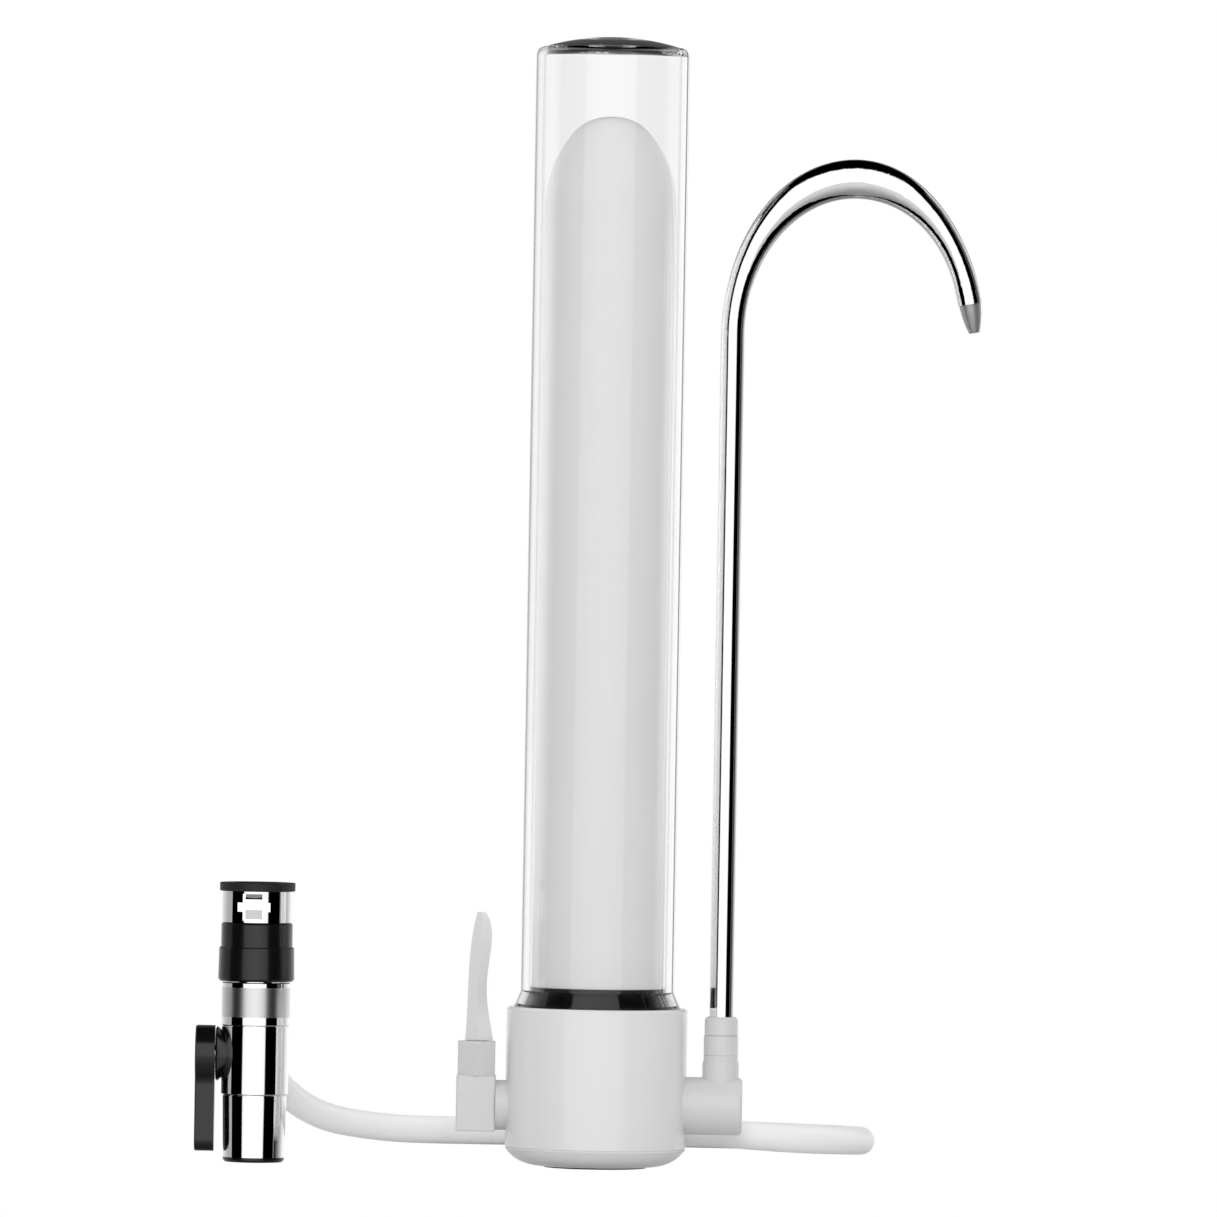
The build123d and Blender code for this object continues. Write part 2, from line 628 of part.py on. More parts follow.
with BuildPart() as flush_valve_body:
    with BuildSketch(Plane.XY.offset(FLUSH_LOW)):
        with Locations((FLUSH_X, 0)):
            RectangleRounded(FLUSH_W, FLUSH_W, SOFT)
    extrude(amount=FLUSH_HIGH - FLUSH_LOW)
    chamfer(flush_valve_body.faces().sort_by(Axis.Z)[-1].outer_wire().edges(), length=SEAM)
    chamfer(flush_valve_body.faces().sort_by(Axis.Z)[0].outer_wire().edges(), length=SEAM)
    sleeve(SIDE_FLUSH, 0, SPIGOT_R, SPIGOT_REACH + GAP, flush_face + SOFT)
    gland(SIDE_FLUSH, SPIGOT_R + FIT - 2 * SEAL_SECTION, SPIGOT_R + FIT, SEAL_SECTION, SEAL_REACH)
    bore(SIDE_FLUSH, PASSAGE_R, SPIGOT_REACH, -FLUSH_X)
    bore(AXIS_FLUSH, FLUSH_PLUG_R, FLUSH_PLUG_LOW, FLUSH_HIGH)
    bore(AXIS_FLUSH, BONNET_SHANK_R + FIT, BONNET_SHANK_LOW, FLUSH_HIGH)
    bore(AXIS_FLUSH, RISER_PASSAGE_R, FLUSH_LOW, FLUSH_PLUG_LOW)
flush_valve_body.part.label = "flush_valve_body"
export_step(flush_valve_body.part, "parts/flush_valve_body.step")

shaft_seat_r = SHAFT_R + FIT + 2 * SHAFT_RING_SECTION
with BuildPart() as flush_bonnet:
    hexagon(AXIS_FLUSH, BONNET_FLATS, FLUSH_HIGH, BONNET_TOP, BONNET_BEVEL)
    sleeve(AXIS_FLUSH, 0, BONNET_SHANK_R, BONNET_SHANK_LOW, FLUSH_HIGH)
    bore(AXIS_FLUSH, SHAFT_R + FIT, BONNET_SHANK_LOW, BONNET_TOP)
    gland(AXIS_FLUSH, SHAFT_R, shaft_seat_r, SHAFT_RING_SECTION, SHAFT_RING_Z)
flush_bonnet.part.label = "flush_bonnet"
export_step(flush_bonnet.part, "parts/flush_bonnet.step")

with BuildPart() as flush_o_ring:
    seal(AXIS_FLUSH, SHAFT_R + FIT, SHAFT_RING_SECTION, SHAFT_RING_Z)
flush_o_ring.part.label = "flush_o_ring"
export_step(flush_o_ring.part, "parts/flush_o_ring.step")

with BuildPart() as flush_stem:
    sleeve(AXIS_FLUSH, 0, FLUSH_PLUG_R - FIT, FLUSH_PLUG_LOW + GAP, BONNET_SHANK_LOW - GAP)
    sleeve(AXIS_FLUSH, 0, SHAFT_R, BONNET_SHANK_LOW - GAP, SHAFT_TOP)
    bore(AXIS_FLUSH, RISER_PASSAGE_R, FLUSH_PLUG_LOW, FLUSH_Z + RISER_PASSAGE_R)
    bore(along((FLUSH_X, 0, FLUSH_Z), (0, -1, 0)), PASSAGE_R, 0, FLUSH_PLUG_R)
flush_stem.part.label = "flush_stem"
export_step(flush_stem.part, "parts/flush_stem.step")


def lever_section(height, width, lean):
    """A ridged six-sided section of the flush lever."""
    side = width / 2
    ridge = width * LEVER_DEPTH / 2
    flat = ridge * LEVER_SIDE
    with BuildSketch(Plane.XY.offset(height)) as section:
        with BuildLine(Location((FLUSH_X + lean, 0))):
            Polyline(
                (-side, -flat), (0, -ridge), (side, -flat),
                (side, flat), (0, ridge), (-side, flat),
                close=True,
            )
        make_face()
    return section.sketch


with BuildPart() as flush_lever:
    loft([
        lever_section(BONNET_TOP + GAP, LEVER_FOOT_W, LEVER_FOOT_LEAN),
        lever_section(BONNET_TOP + LEVER_FLARE_RISE, LEVER_FLARE_W, LEVER_FOOT_LEAN / 2),
        lever_section(BONNET_TOP + LEVER_WAIST_RISE, LEVER_WAIST_W, 0),
        lever_section(FLUSH_LEVER_TOP - LEVER_HEAD_DROP, LEVER_HEAD_W, LEVER_HEAD_LEAN),
        lever_section(FLUSH_LEVER_TOP, LEVER_TIP_W, LEVER_TIP_LEAN),
    ])
    bore(AXIS_FLUSH, SHAFT_R, BONNET_TOP, SHAFT_TOP)
flush_lever.part.label = "flush_lever"
export_step(flush_lever.part, "parts/flush_lever.step")

# Outlet elbow and the spout's nut
tube_bore_r = SPOUT_R + FIT
ring_seat_r = tube_bore_r + 2 * SPOUT_RING_SECTION
with BuildPart() as outlet_elbow:
    sleeve(SIDE_OUTLET, 0, OUTLET_R, SPIGOT_REACH, OUTLET_END)
    end_edge = outlet_elbow.faces().sort_by(Axis.X)[-1].outer_wire().edges()
    fillet(end_edge, radius=OUTLET_END_FILLET)
    sleeve(AXIS_RISER, 0, RISER_R, OUTLET_Z, RISER_TOP)
    sleeve(AXIS_BASE, 0, BASE_R, 0, BASE_TOP, Mode.SUBTRACT)
    spigot(SIDE_OUTLET)
    bore(SIDE_OUTLET, PASSAGE_R, SPIGOT_REACH, OUTLET_X)
    bore(AXIS_RISER, RISER_PASSAGE_R, OUTLET_Z - RISER_PASSAGE_R, SPOUT_LOW)
    bore(AXIS_RISER, tube_bore_r, SPOUT_LOW - GAP, RISER_TOP)
    for height in SPOUT_RING_HEIGHTS:
        gland(AXIS_RISER, SPOUT_R, ring_seat_r, SPOUT_RING_SECTION, height)
outlet_elbow.part.label = "outlet_elbow"
export_step(outlet_elbow.part, "parts/outlet_elbow.step")

with BuildPart() as spout_o_rings:
    for height in SPOUT_RING_HEIGHTS:
        seal(AXIS_RISER, tube_bore_r, SPOUT_RING_SECTION, height)
spout_o_rings.part.label = "spout_o_rings"
export_step(spout_o_rings.part, "parts/spout_o_rings.step")

with BuildPart() as riser_collar:
    sleeve(AXIS_RISER, SPOUT_R + GAP, COLLAR_R, RISER_TOP, COLLAR_TOP)
    bore(AXIS_RISER, RETAINER_R + GAP, COLLAR_SHELF, COLLAR_TOP)
    seal(AXIS_RISER, COLLAR_R - SEAM / 2, SEAM / 2, COLLAR_LINE_Z, Mode.SUBTRACT)
riser_collar.part.label = "riser_collar"
export_step(riser_collar.part, "parts/riser_collar.step")

with BuildPart() as spout_nut:
    turn(
        [
            (SPOUT_R + GAP, COLLAR_TOP),
            (NUT_R - SEAM, COLLAR_TOP),
            (NUT_R, COLLAR_TOP + SEAM),
            (NUT_R, NUT_TOP - NUT_BEVEL),
            (NUT_R - NUT_BEVEL, NUT_TOP),
            (SPOUT_R + GAP, NUT_TOP),
        ],
        AXIS_RISER,
    )
spout_nut.part.label = "spout_nut"
export_step(spout_nut.part, "parts/spout_nut.step")

with BuildPart() as spout_retainer:
    sleeve(AXIS_RISER, SPOUT_R, RETAINER_R, COLLAR_SHELF + GAP, COLLAR_TOP - GAP)
spout_retainer.part.label = "spout_retainer"
export_step(spout_retainer.part, "parts/spout_retainer.step")


# Gooseneck spout
def arch_plane(angle):
    """Section plane of the half-elliptical neck, its local x pointing away from the arch's inside."""
    reach = ARCH_LEFT if angle > RIGHT_ANGLE else ARCH_RIGHT
    across = math.cos(math.radians(angle))
    up = math.sin(math.radians(angle))
    heading = Vector(reach * up, 0, -ARCH_RISE * across)
    centre = (OUTLET_X + ARCH_LEFT + reach * across, 0, ARCH_Z + ARCH_RISE * up)
    return Plane(origin=centre, x_dir=heading.cross(Vector(0, 1, 0)), z_dir=heading)


def arch_swell(angle):
    """Extra half thickness of the neck in the plane of the arch, fullest at the crest."""
    span = SWELL_LEFT if angle > RIGHT_ANGLE else SWELL_RIGHT
    share = min(abs(angle - RIGHT_ANGLE) / span, 1)
    return (CREST_THICK / 2 - SPOUT_R) * (1 + math.cos(math.pi * share)) / 2


def arch(radius):
    """Sections of the neck for a tube of the given plain radius."""
    start = 2 * RIGHT_ANGLE
    sections = []
    for step in range(ARCH_STEPS + 1):
        angle = start + (ARCH_END - start) * step / ARCH_STEPS
        with BuildSketch(arch_plane(angle)) as section:
            Ellipse(radius + arch_swell(angle), radius)
        sections.append(section.sketch)
    return sections


spout_end = arch_plane(ARCH_END)
AXIS_NOZZLE = along(spout_end.origin, spout_end.z_dir)
spout_bore_r = SPOUT_R - SPOUT_WALL

with BuildPart() as spout_tube:
    sleeve(AXIS_RISER, 0, SPOUT_R, SPOUT_LOW, ARCH_Z)
    loft(arch(SPOUT_R))
    loft(arch(spout_bore_r), mode=Mode.SUBTRACT)
    bore(AXIS_RISER, spout_bore_r, SPOUT_LOW, ARCH_Z)
spout_tube.part.label = "spout_tube"
export_step(spout_tube.part, "parts/spout_tube.step")

with BuildPart() as spout_nozzle:
    nozzle_spigot_r = spout_bore_r - NOZZLE_FIT
    with BuildSketch(AXIS_NOZZLE) as nozzle_outline:
        with BuildLine():
            Polyline(
                (NOZZLE_R, 0),
                (nozzle_spigot_r, 0),
                (nozzle_spigot_r, -NOZZLE_SPIGOT),
                (NOZZLE_BORE_R, -NOZZLE_SPIGOT),
                (NOZZLE_BORE_R, NOZZLE_LENGTH),
                (NOZZLE_TIP_R, NOZZLE_LENGTH),
            )
            ThreePointArc(
                (NOZZLE_TIP_R, NOZZLE_LENGTH),
                (NOZZLE_BELLY_R, NOZZLE_LENGTH / 2),
                (NOZZLE_R, 0),
            )
        make_face()
        fillet(nozzle_outline.vertices().group_by(Axis.Y)[-1].sort_by(Axis.X)[-1], radius=NOZZLE_TIP_FILLET)
    revolve(axis=Axis(AXIS_NOZZLE.origin, AXIS_NOZZLE.y_dir))
spout_nozzle.part.label = "spout_nozzle"
export_step(spout_nozzle.part, "parts/spout_nozzle.step")


# Inlet at the back of the base
def hose_nut(plane, low, high):
    """A bevelled hexagonal nut that the hose meets face to face."""
    hexagon(plane, HOSE_NUT_FLATS, low, high, HOSE_NUT_BEVEL)
    bore(plane, HOSE_BORE_R, low, high)
    bore(plane, HOSE_THREAD_R + FIT, low, low + HOSE_THREAD_DEPTH + GAP)


with BuildPart() as inlet_elbow:
    sleeve(SIDE_INLET, 0, ELBOW_R, SPIGOT_REACH, inlet_centre.Y)
    sleeve(AXIS_BASE, 0, BASE_R, 0, BASE_TOP, Mode.SUBTRACT)
    with Locations(inlet_centre):
        Sphere(ELBOW_R)
    sleeve(ARM_INLET, 0, ELBOW_R, 0, ELBOW_ARM)
    sleeve(ARM_INLET, 0, HOSE_THREAD_R, ELBOW_ARM, ELBOW_ARM + HOSE_THREAD_DEPTH)
    spigot(SIDE_INLET)
    bore(SIDE_INLET, PASSAGE_R, SPIGOT_REACH, inlet_centre.Y)
    bore(ARM_INLET, PASSAGE_R, 0, ELBOW_ARM + HOSE_THREAD_DEPTH)
inlet_elbow.part.label = "inlet_elbow"
export_step(inlet_elbow.part, "parts/inlet_elbow.step")

with BuildPart() as inlet_nut:
    hose_nut(ARM_INLET, ELBOW_ARM, ELBOW_ARM + INLET_NUT_LENGTH)
inlet_nut.part.label = "inlet_nut"
export_step(inlet_nut.part, "parts/inlet_nut.step")


# Supply hose
def bend_radii(points):
    """Radius of the bend at each inner point, from the shorter run beside it and the turn."""
    radii = []
    for before, corner, after in zip(points, points[1:], points[2:]):
        turn_angle = (corner - before).get_angle(after - corner)
        shorter = min((corner - before).length, (after - corner).length)
        radii.append(HOSE_BEND_SHARE * shorter / math.tan(math.radians(turn_angle) / 2))
    return radii


hose_radii = bend_radii(hose_points)
with BuildPart() as supply_hose:
    with BuildLine() as hose_path:
        FilletPolyline(*hose_points, radius=hose_radii)
    with BuildSketch(Plane(origin=hose_points[0], z_dir=hose_points[1] - hose_points[0])):
        Circle(HOSE_R)
        Circle(HOSE_BORE_R, mode=Mode.SUBTRACT)
    sweep(path=hose_path.wire())
supply_hose.part.label = "supply_hose"
export_step(supply_hose.part, "parts/supply_hose.step")

hose_length = hose_path.wire().length
hose_section = math.pi * (HOSE_R**2 - HOSE_BORE_R**2)
print("hose bend radii in mm:", [round(radius, 1) for radius in hose_radii])
print("hose length in mm:", round(hose_length, 1))
print("hose volume against section times length:",
      round(supply_hose.part.volume / (hose_section * hose_length), 4))

# Diverter outlet
ring_pitch = (AERATOR_R - AERATOR_WALL - AERATOR_BORDER - AERATOR_HOLE_R) / AERATOR_RING_COUNT
with BuildPart() as aerator_insert:
    turn(
        [
            (AERATOR_R - AERATOR_WALL, 0),
            (AERATOR_FOOT_R, 0),
            (AERATOR_RIM_R, AERATOR_RIM_R - AERATOR_FOOT_R),
            (AERATOR_RIM_R, AERATOR_RIM_T),
            (AERATOR_R, AERATOR_RIM_T),
            (AERATOR_R, AERATOR_TOP),
            (AERATOR_R - AERATOR_WALL, AERATOR_TOP),
        ],
        AXIS_DIVERTER,
    )
    with BuildSketch(Plane.XY.offset(AERATOR_PLATE_Z)):
        with Locations((DIVERTER_X, 0)):
            Circle(AERATOR_R - AERATOR_WALL / 2)
            Circle(AERATOR_HOLE_R, mode=Mode.SUBTRACT)
            for ring in range(1, AERATOR_RING_COUNT + 1):
                with PolarLocations(ring_pitch * ring, HEX * ring):
                    Circle(AERATOR_HOLE_R, mode=Mode.SUBTRACT)
    extrude(amount=AERATOR_PLATE_T)
aerator_insert.part.label = "aerator_insert"
export_step(aerator_insert.part, "parts/aerator_insert.step")

with BuildPart() as diverter_outlet:
    turn(
        [
            (AERATOR_R + FIT, AERATOR_RIM_T),
            (OUTLET_SLEEVE_R, AERATOR_RIM_T),
            (OUTLET_SLEEVE_TOP_R, SLEEVE_TOP - SEAM),
            (OUTLET_SLEEVE_TOP_R - SEAM, SLEEVE_TOP),
            (JOINT_R, SLEEVE_TOP),
            (JOINT_R, LOWER_JOINT_TOP),
            (SLEEVE_BORE_R, LOWER_JOINT_TOP),
            (SLEEVE_BORE_R, AERATOR_TOP + GAP),
            (AERATOR_R + FIT, AERATOR_TOP + GAP),
        ],
        AXIS_DIVERTER,
    )
diverter_outlet.part.label = "diverter_outlet"
export_step(diverter_outlet.part, "parts/diverter_outlet.step")

# Diverter body and neck
with BuildPart() as diverter_body:
    turn(
        [
            (0, SLEEVE_TOP),
            (BODY_R - SEAM, SLEEVE_TOP),
            (BODY_R, SLEEVE_TOP + SEAM),
            (BODY_R, BODY_TOP - SEAM),
            (BODY_R - SEAM, BODY_TOP),
            (0, BODY_TOP),
        ],
        AXIS_DIVERTER,
    )
    bore(AXIS_DIVERTER, JOINT_R + FIT, SLEEVE_TOP, LOWER_JOINT_TOP + GAP)
    bore(AXIS_DIVERTER, BODY_BORE_R, SLEEVE_TOP, BODY_TOP)
    bore(AXIS_DIVERTER, JOINT_R + FIT, UPPER_JOINT_LOW - GAP, BODY_TOP)
    bore(SIDE_LEVER, PLUG_R, PLUG_NEAR - GAP, BODY_R)
    bore(SIDE_PORT, PASSAGE_R, 0, BODY_R)
    bore(SIDE_PORT, PORT_SPIGOT_R + FIT, BODY_R - PORT_SPIGOT_R, PORT_BOSS_LENGTH)
diverter_body.part.label = "diverter_body"
export_step(diverter_body.part, "parts/diverter_body.step")

with BuildPart() as diverter_neck:
    turn(
        [
            (NECK_BORE_R, UPPER_JOINT_LOW),
            (JOINT_R, UPPER_JOINT_LOW),
            (JOINT_R, BODY_TOP),
            (NECK_R - SEAM, BODY_TOP),
            (NECK_R, BODY_TOP + SEAM),
            (NECK_R, BAND_LOW),
            (BAND_SEAT_R, BAND_LOW),
            (BAND_SEAT_R, BAND_HIGH),
            (NECK_R, BAND_HIGH),
            (NECK_R, NECK_TOP - SEAM),
            (NECK_R - SEAM, NECK_TOP),
            (NECK_STEM_R, NECK_TOP),
            (NECK_STEM_R, FLANGE_LOW),
            (FLANGE_R, FLANGE_LOW),
            (FLANGE_R, FLANGE_HIGH),
            (NECK_BORE_R, FLANGE_HIGH),
        ],
        AXIS_DIVERTER,
    )
diverter_neck.part.label = "diverter_neck"
export_step(diverter_neck.part, "parts/diverter_neck.step")

with BuildPart() as satin_band:
    sleeve(AXIS_DIVERTER, BAND_SEAT_R, NECK_R - BAND_SUNK, BAND_LOW, BAND_HIGH)
satin_band.part.label = "satin_band"
export_step(satin_band.part, "parts/satin_band.step")

with BuildPart() as swivel_washer:
    sleeve(AXIS_DIVERTER, NECK_BORE_R + GAP, FLANGE_R - GAP, FLANGE_HIGH, FLANGE_HIGH + WASHER_T)
swivel_washer.part.label = "swivel_washer"
export_step(swivel_washer.part, "parts/swivel_washer.step")

# Swivel nut of the diverter
collar_seat_r = FLANGE_R + GAP
collar_spigot_low = FLANGE_HIGH + WASHER_T + GAP
with BuildPart() as lower_collar:
    turn(
        [
            (NECK_STEM_R + GAP, NECK_TOP + GAP),
            (LOWER_COLLAR_R - SOFT, NECK_TOP + GAP),
            (LOWER_COLLAR_R, NECK_TOP + GAP + SOFT),
            (LOWER_COLLAR_TOP_R, LOWER_COLLAR_TOP - SEAM),
            (LOWER_COLLAR_TOP_R - SEAM, LOWER_COLLAR_TOP),
            (collar_seat_r, LOWER_COLLAR_TOP),
            (collar_seat_r, FLANGE_LOW - GAP),
            (NECK_STEM_R + GAP, FLANGE_LOW - GAP),
        ],
        AXIS_DIVERTER,
    )
lower_collar.part.label = "lower_collar"
export_step(lower_collar.part, "parts/lower_collar.step")

with BuildPart() as upper_collar:
    turn(
        [
            (COLLAR_BORE_R, collar_spigot_low),
            (collar_seat_r - FIT, collar_spigot_low),
            (collar_seat_r - FIT, LOWER_COLLAR_TOP),
            (UPPER_COLLAR_R, LOWER_COLLAR_TOP),
            (UPPER_COLLAR_R, UPPER_COLLAR_TOP - SOFT),
            (UPPER_COLLAR_R - SOFT, UPPER_COLLAR_TOP),
            (ADAPTER_SPIGOT_R + FIT, UPPER_COLLAR_TOP),
            (ADAPTER_SPIGOT_R + FIT, ADAPTER_SPIGOT_LOW),
            (COLLAR_BORE_R, ADAPTER_SPIGOT_LOW),
        ],
        AXIS_DIVERTER,
    )
upper_collar.part.label = "upper_collar"
export_step(upper_collar.part, "parts/upper_collar.step")


def latch(turned):
    """A pocket with side ears in the adapter's wall and the bevelled tab that stands in it."""
    across = Vector(1, 0, 0).rotate(Axis.Z, turned)
    outward = Vector(0, -1, 0).rotate(Axis.Z, turned)
    floor_centre = Vector(DIVERTER_X, 0, 0) + outward * (ADAPTER_R - LATCH_DEPTH)
    low = UPPER_COLLAR_TOP + LATCH_LIP
    high = ADAPTER_TOP - LATCH_LIP
    with BuildSketch(Plane(origin=floor_centre, x_dir=across, z_dir=outward)) as pocket:
        with Locations((0, (low + high) / 2)):
            Rectangle(LATCH_W, high - low)
            Rectangle(EAR_SPAN, EAR_H)
    extrude(pocket.sketch, amount=2 * LATCH_DEPTH, mode=Mode.SUBTRACT)
    face_high = high - TAB_BEVEL_H
    face_low = face_high - TAB_FACE_H
    with BuildSketch(Plane(origin=floor_centre, x_dir=outward, z_dir=across * -1)) as tab:
        with BuildLine():
            Polyline(
                (-GAP, high),
                (0, high),
                (TAB_PROUD, face_high),
                (TAB_PROUD, face_low),
                (TAB_PROUD - TAB_STEP, face_low),
                (TAB_TOE, low),
                (-GAP, low),
                close=True,
            )
        make_face()
    extrude(tab.sketch, amount=TAB_W / 2, both=True)


with BuildPart() as faucet_adapter:
    turn(
        [
            (COLLAR_BORE_R, ADAPTER_SPIGOT_LOW),
            (ADAPTER_SPIGOT_R, ADAPTER_SPIGOT_LOW),
            (ADAPTER_SPIGOT_R, UPPER_COLLAR_TOP),
            (ADAPTER_R, UPPER_COLLAR_TOP),
            (ADAPTER_R, ADAPTER_TOP),
            (ADAPTER_THREAD_R, ADAPTER_TOP),
            (ADAPTER_THREAD_R, ADAPTER_THREAD_LOW),
            (COLLAR_BORE_R, ADAPTER_THREAD_LOW),
        ],
        AXIS_DIVERTER,
    )
    for half_turn in (0, 2 * RIGHT_ANGLE):
        latch(half_turn + LATCH_TURN)
faucet_adapter.part.label = "faucet_adapter"
export_step(faucet_adapter.part, "parts/faucet_adapter.step")

with BuildPart() as top_gasket:
    sleeve(AXIS_DIVERTER, GASKET_BORE_R, GASKET_R, ADAPTER_TOP, GASKET_TOP)
    rim = top_gasket.edges().filter_by(GeomType.CIRCLE).sort_by(SortBy.RADIUS)[-2:]
    fillet(rim, radius=SEAM)
top_gasket.part.label = "top_gasket"
export_step(top_gasket.part, "parts/top_gasket.step")

# Diverter lever and its plug
shaft_bore_r = LEVER_SHAFT_R + FIT
with BuildPart() as lever_skirt:
    turn(
        [
            (0, 0),
            (SKIRT_ROOT_R, 0),
            (SKIRT_ROOT_R, math.sqrt(BODY_R**2 - SKIRT_ROOT_R**2)),
            (SKIRT_R, LEVER_NEAR - GAP - SKIRT_BEVEL),
            (SKIRT_R - SKIRT_BEVEL, LEVER_NEAR - GAP),
            (0, LEVER_NEAR - GAP),
        ],
        SIDE_LEVER,
    )
    sleeve(AXIS_DIVERTER, 0, BODY_R, 0, GASKET_TOP, Mode.SUBTRACT)
    sleeve(SIDE_LEVER, 0, PLUG_R - FIT, PLUG_FAR + GAP, BODY_R)
    bore(SIDE_LEVER, shaft_bore_r, PLUG_FAR, LEVER_NEAR)
    gland(SIDE_LEVER, LEVER_SHAFT_R, shaft_bore_r + 2 * SHAFT_RING_SECTION, SHAFT_RING_SECTION,
          LEVER_RING_REACH)
lever_skirt.part.label = "lever_skirt"
export_step(lever_skirt.part, "parts/lever_skirt.step")

with BuildPart() as lever_o_ring:
    seal(SIDE_LEVER, shaft_bore_r, SHAFT_RING_SECTION, LEVER_RING_REACH)
lever_o_ring.part.label = "lever_o_ring"
export_step(lever_o_ring.part, "parts/lever_o_ring.step")

with BuildPart() as diverter_stem:
    sleeve(SIDE_LEVER, 0, PLUG_R - FIT, PLUG_NEAR, PLUG_FAR)
    sleeve(SIDE_LEVER, 0, LEVER_SHAFT_R, PLUG_FAR, LEVER_SHAFT_END)
    bore(AXIS_DIVERTER, PLUG_PORT_R, PLUG_Z - PLUG_R, PLUG_Z + PLUG_R)
    bore(along((DIVERTER_X, 0, PLUG_Z), (0, -1, 0)), PLUG_SIDE_R, 0, PLUG_R)
    bore(SIDE_LEVER, SCREW_R, LEVER_FAR - SCREW_SINK - SCREW_LENGTH, LEVER_SHAFT_END)
diverter_stem.part.label = "diverter_stem"
export_step(diverter_stem.part, "parts/diverter_stem.step")

with BuildPart() as diverter_lever:
    face = Plane(
        origin=SIDE_LEVER.origin + SIDE_LEVER.y_dir * LEVER_NEAR,
        x_dir=(0, -1, 0),
        z_dir=SIDE_LEVER.y_dir,
    )
    with BuildSketch(face) as lever_outline:
        Circle(LEVER_HEAD_R)
        blade_length = PLUG_Z - LEVER_BLADE_LOW
        with Locations((0, -blade_length / 2)):
            Rectangle(LEVER_BLADE_W, blade_length)
        fillet(lever_outline.vertices(), radius=LEVER_CORNER)
    extrude(amount=LEVER_FAR - LEVER_NEAR)
    outer_face = diverter_lever.faces().sort_by(Axis.X)[0]
    chamfer(outer_face.outer_wire().edges(), length=LEVER_EDGE)
    bore(SIDE_LEVER, LEVER_SHAFT_R, LEVER_NEAR, LEVER_SHAFT_END)
    bore(SIDE_LEVER, SCREW_R, LEVER_SHAFT_END, LEVER_FAR)
    bore(SIDE_LEVER, SCREW_HEAD_R + FIT, LEVER_FAR - SCREW_SINK, LEVER_FAR)
diverter_lever.part.label = "diverter_lever"
export_step(diverter_lever.part, "parts/diverter_lever.step")

with BuildPart() as lever_screw:
    screw_seat = LEVER_FAR - SCREW_SINK
    sleeve(SIDE_LEVER, 0, SCREW_R, screw_seat - SCREW_LENGTH + GAP, screw_seat)
    sleeve(SIDE_LEVER, 0, SCREW_HEAD_R, screw_seat, screw_seat + SCREW_HEAD_T)
    cross_plane = Plane(
        origin=SIDE_LEVER.origin + SIDE_LEVER.y_dir * (screw_seat + SCREW_HEAD_T / 2),
        z_dir=SIDE_LEVER.y_dir,
    )
    with BuildSketch(cross_plane):
        Rectangle(CROSS_L, CROSS_W)
        Rectangle(CROSS_W, CROSS_L)
    extrude(amount=SCREW_HEAD_T, mode=Mode.SUBTRACT)
lever_screw.part.label = "lever_screw"
export_step(lever_screw.part, "parts/lever_screw.step")

# Hose port at the back of the diverter
with BuildPart() as hose_port:
    sleeve(SIDE_PORT, 0, PORT_BOSS_R, 0, PORT_BOSS_LENGTH)
    sleeve(AXIS_DIVERTER, 0, BODY_R, 0, GASKET_TOP, Mode.SUBTRACT)
    sleeve(SIDE_PORT, 0, PORT_SPIGOT_R, BODY_R - PORT_SPIGOT_R + GAP, BODY_R + PORT_SPIGOT_R)
    sleeve(SIDE_PORT, 0, HOSE_THREAD_R, PORT_BOSS_LENGTH, PORT_BOSS_LENGTH + HOSE_THREAD_DEPTH)
    bore(SIDE_PORT, PASSAGE_R, 0, PORT_BOSS_LENGTH + HOSE_THREAD_DEPTH)
hose_port.part.label = "hose_port"
export_step(hose_port.part, "parts/hose_port.step")

with BuildPart() as port_nut:
    hose_nut(SIDE_PORT, PORT_BOSS_LENGTH, port_reach)
port_nut.part.label = "port_nut"
export_step(port_nut.part, "parts/port_nut.step")
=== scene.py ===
import json
import math

import bpy
from mathutils import Matrix, Vector


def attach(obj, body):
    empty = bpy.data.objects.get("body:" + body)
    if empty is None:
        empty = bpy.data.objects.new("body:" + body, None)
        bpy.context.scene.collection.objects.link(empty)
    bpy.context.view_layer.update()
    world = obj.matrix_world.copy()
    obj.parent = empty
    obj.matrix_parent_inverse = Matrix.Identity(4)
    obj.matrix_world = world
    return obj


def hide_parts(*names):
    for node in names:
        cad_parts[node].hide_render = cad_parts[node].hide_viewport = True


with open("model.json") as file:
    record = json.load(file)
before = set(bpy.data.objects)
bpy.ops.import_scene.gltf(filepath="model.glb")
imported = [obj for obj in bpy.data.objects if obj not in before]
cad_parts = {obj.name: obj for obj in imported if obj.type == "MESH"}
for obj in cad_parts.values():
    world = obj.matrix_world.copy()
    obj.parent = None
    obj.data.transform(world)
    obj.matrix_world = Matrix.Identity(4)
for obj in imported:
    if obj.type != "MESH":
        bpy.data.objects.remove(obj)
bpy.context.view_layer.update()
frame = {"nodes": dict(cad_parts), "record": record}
nodes = frame["nodes"]
MM = 0.001

# Camera: the photograph's frame is 430.5 mm wide at the object, seen from far off at mid height
VIEW_DISTANCE = 5.0
VIEW_HEIGHT = 0.24
FRAME_WIDTH = 0.4305
SENSOR = 36.0
ROLL = math.radians(0.97)
AIM = Vector((0.0016, 0.0, 0.1978))

